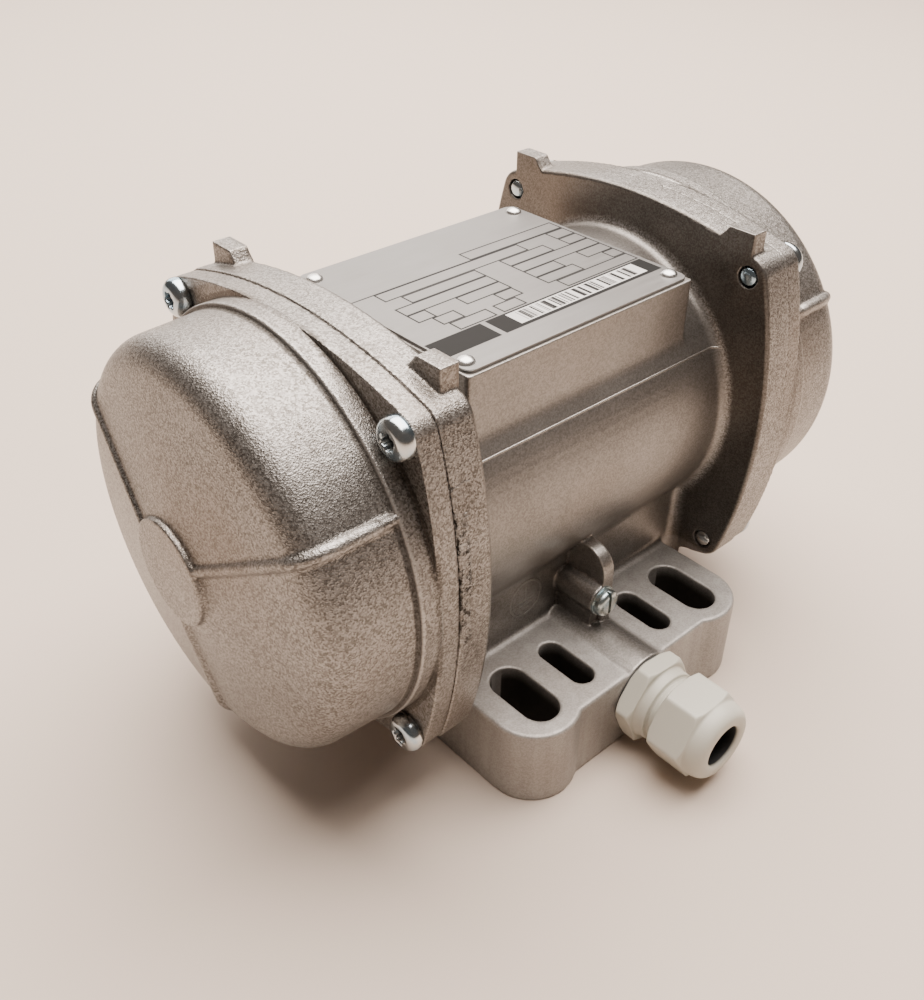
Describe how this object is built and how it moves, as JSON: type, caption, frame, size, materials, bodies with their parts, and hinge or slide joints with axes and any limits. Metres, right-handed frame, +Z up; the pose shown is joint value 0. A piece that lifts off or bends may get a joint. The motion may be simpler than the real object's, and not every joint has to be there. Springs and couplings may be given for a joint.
{
  "type": "vibration motor",
  "caption": "Cast aluminium vibration motor with domed end covers over eccentric weights, slotted mounting feet, a top nameplate and a side cable gland.",
  "frame": {"origin": "on the base plane, midway between the four outer foot slots", "axes": "+Y along the motor axis towards the rear cover, +X towards the cable gland, +Z up"},
  "size_m": [0.1638, 0.21, 0.1321],
  "materials": {
    "cast_aluminium": "as cast, blasted",
    "zinc_steel": "zinc plated",
    "plate_aluminium": "satin",
    "brass": "machined",
    "gland_plastic": "moulded",
    "black_rubber": "moulded",
    "electrical_steel": "laminated",
    "copper_winding": "enamelled",
    "cast_iron": "machined",
    "ground_steel": "ground",
    "spring_steel": "blackened",
    "weight_steel": "oiled",
    "block_plastic": "moulded",
    "lead_sleeve": "silicone sleeve",
    "fibre_gasket": "cut sheet"
  },
  "bodies": {
    "motor": {"motor_body": "cast_aluminium", "nameplate": "plate_aluminium", "nameplate_rivets": "plate_aluminium", "earth_screw": "zinc_steel", "earth_washer": "zinc_steel", "gland_body": "gland_plastic", "gland_washer": "black_rubber", "gland_insert": "black_rubber", "gland_dome_nut": "gland_plastic", "stator_core": "electrical_steel", "stator_winding": "copper_winding", "terminal_block": "block_plastic", "terminal_studs": "brass", "terminal_nuts": "brass", "terminal_block_screws": "zinc_steel", "motor_leads": "lead_sleeve", "base_cover": "cast_aluminium", "base_cover_gasket": "fibre_gasket", "base_cover_screws": "zinc_steel", "front_cover": "cast_aluminium", "front_cover_seal": "black_rubber", "front_cover_screws": "zinc_steel", "front_bearing_shield": "cast_iron", "front_shield_screws": "zinc_steel", "front_bearing_circlip": "spring_steel", "front_bearing_outer_race": "ground_steel", "rear_cover": "cast_aluminium", "rear_cover_seal": "black_rubber", "rear_cover_screws": "zinc_steel", "rear_bearing_shield": "cast_iron", "rear_shield_screws": "zinc_steel", "rear_bearing_circlip": "spring_steel", "rear_bearing_outer_race": "ground_steel"},
    "rotor": {"rotor_shaft": "ground_steel", "rotor_core": "electrical_steel", "rotor_cage": "cast_aluminium", "front_bearing_inner_race": "ground_steel", "front_weight_spacer": "ground_steel", "front_fixed_weight": "weight_steel", "front_weight_key": "ground_steel", "front_fixed_weight_bolt": "spring_steel", "front_thrust_washer": "brass", "front_shaft_circlip": "spring_steel", "rear_bearing_inner_race": "ground_steel", "rear_weight_spacer": "ground_steel", "rear_fixed_weight": "weight_steel", "rear_weight_key": "ground_steel", "rear_fixed_weight_bolt": "spring_steel", "rear_thrust_washer": "brass", "rear_shaft_circlip": "spring_steel"},
    "front_ball_set": {"front_bearing_balls": "ground_steel", "front_bearing_cage": "spring_steel"},
    "front_adjustable_mass": {"front_adjustable_weight": "weight_steel", "front_adjustable_weight_bolt": "spring_steel"},
    "rear_ball_set": {"rear_bearing_balls": "ground_steel", "rear_bearing_cage": "spring_steel"},
    "rear_adjustable_mass": {"rear_adjustable_weight": "weight_steel", "rear_adjustable_weight_bolt": "spring_steel"}
  },
  "joints": [
    {"name": "rotor_spin", "type": "hinge", "parent": "motor", "child": "rotor", "pos_m": [0, 0, 0.075], "axis": [0, 1, 0], "continuous": true},
    {"name": "front_ball_set_orbit", "type": "hinge", "parent": "motor", "child": "front_ball_set", "pos_m": [0, -0.0545, 0.075], "axis": [0, 1, 0], "continuous": true},
    {"name": "rear_ball_set_orbit", "type": "hinge", "parent": "motor", "child": "rear_ball_set", "pos_m": [0, 0.0545, 0.075], "axis": [0, 1, 0], "continuous": true},
    {"name": "front_weight_adjust", "type": "hinge", "parent": "rotor", "child": "front_adjustable_mass", "pos_m": [0, -0.0853, 0.075], "axis": [0, 1, 0], "range_deg": [0, 180]},
    {"name": "rear_weight_adjust", "type": "hinge", "parent": "rotor", "child": "rear_adjustable_mass", "pos_m": [0, 0.0853, 0.075], "axis": [0, 1, 0], "range_deg": [0, 180]}
  ],
  "couplings": [
    {"joint": "front_ball_set_orbit", "follows": "rotor_spin", "ratio": 0.3614},
    {"joint": "rear_ball_set_orbit", "follows": "rotor_spin", "ratio": 0.3614}
  ]
}
